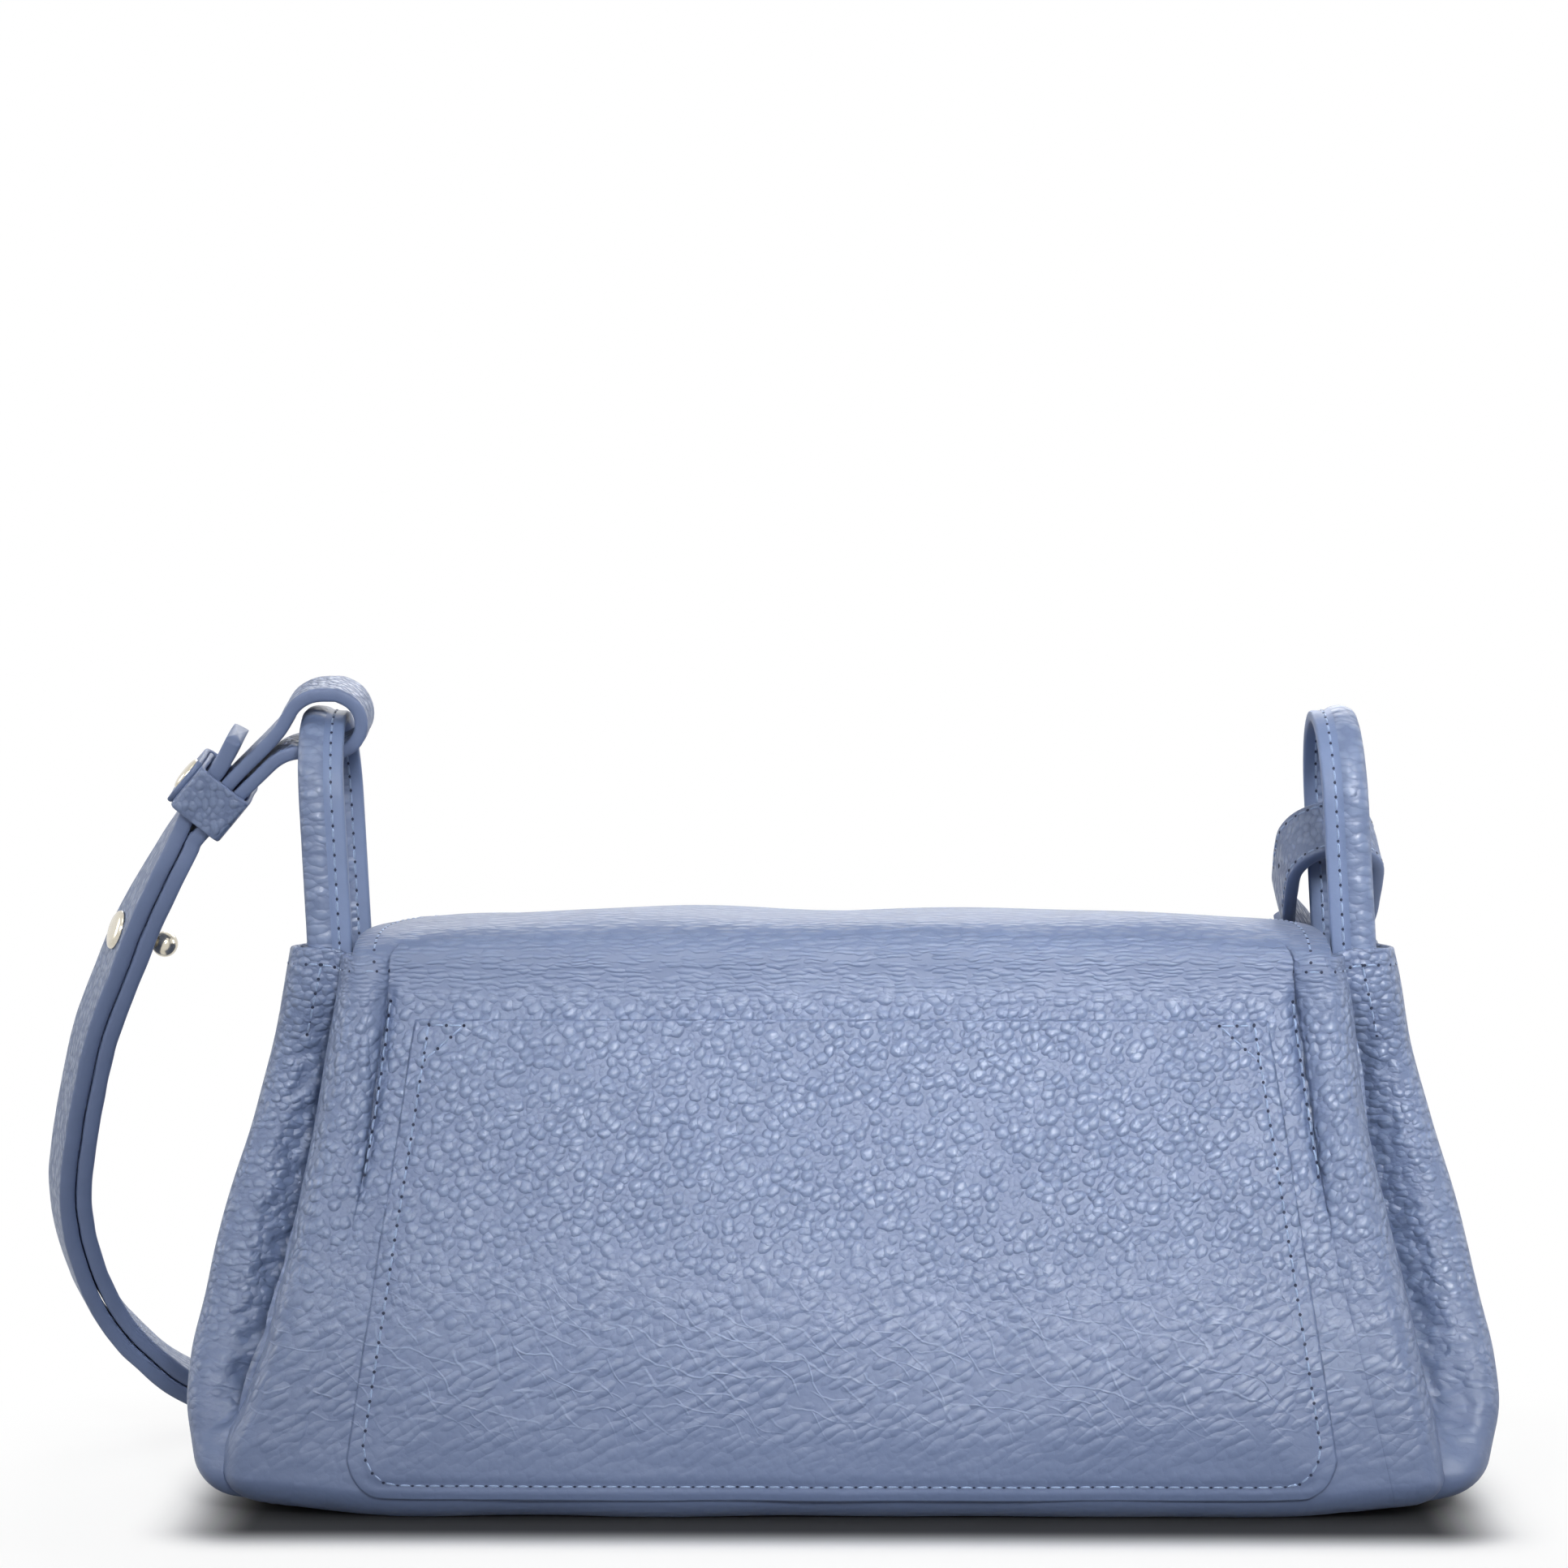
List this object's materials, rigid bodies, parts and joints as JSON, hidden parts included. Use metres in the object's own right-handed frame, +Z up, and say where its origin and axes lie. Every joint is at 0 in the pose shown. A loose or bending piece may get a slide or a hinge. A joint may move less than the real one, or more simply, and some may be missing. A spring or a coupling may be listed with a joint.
{
  "type": "trapeze bag",
  "caption": "Small trapeze handbag of soft grained leather with a flap, a back pocket, arched strap loops and a doubled shoulder strap held by keepers and studs.",
  "frame": {"origin": "middle of the bag's base, on the surface it stands on", "axes": "+X along the bag to the right as seen from the back panel, +Y from the back panel to the flap, +Z up"},
  "size_m": [0.345, 0.152, 0.1895],
  "materials": {
    "body_leather": "pebbled grain, satin",
    "strap_leather": "pebbled grain, satin, painted edges",
    "lining": "fine woven cotton",
    "core": "packed cotton cord",
    "board": "grey board",
    "snap_metal": "satin",
    "pale_metal": "polished pale plating"
  },
  "bodies": {
    "bag": {"back_panel": "body_leather", "front_panel": "body_leather", "left_gusset": "body_leather", "right_gusset": "body_leather", "base_panel": "body_leather", "base_board": "board", "lining_back": "lining", "lining_front": "lining", "lining_left": "lining", "lining_right": "lining", "lining_base": "lining", "inner_pocket": "lining", "back_pocket_panel": "body_leather", "snap_female": "snap_metal", "snap_washer": "snap_metal", "left_loop": "body_leather", "right_loop": "body_leather", "left_loop_core": "core", "right_loop_core": "core"},
    "flap": {"flap": "body_leather", "flap_lining": "lining", "snap_male": "snap_metal"},
    "strap": {"inner_strap": "strap_leather", "outer_strap": "strap_leather", "left_stud_base": "pale_metal", "left_stud_head": "pale_metal", "right_stud_base": "pale_metal", "right_stud_head": "pale_metal"},
    "left_keeper": {"left_keeper": "strap_leather", "left_keeper_rivet": "pale_metal"},
    "right_keeper": {"right_keeper": "strap_leather", "right_keeper_rivet": "pale_metal"}
  },
  "joints": [
    {"name": "flap_hinge", "type": "hinge", "parent": "bag", "child": "flap", "pos_m": [0, -0.03014, 0.1251], "axis": [1, 0, 0], "range_deg": [0, 110]},
    {"name": "strap_swing", "type": "hinge", "parent": "bag", "child": "strap", "pos_m": [0, 0, 0.16], "axis": [1, 0, 0], "range_deg": [0, 75]},
    {"name": "left_keeper_slide", "type": "slide", "parent": "strap", "child": "left_keeper", "axis": [-0.6392, 0.173, -0.7493], "range_m": [0, 0.004]},
    {"name": "right_keeper_slide", "type": "slide", "parent": "strap", "child": "right_keeper", "axis": [0, 0.7463, -0.6656], "range_m": [0, 0.004]}
  ]
}
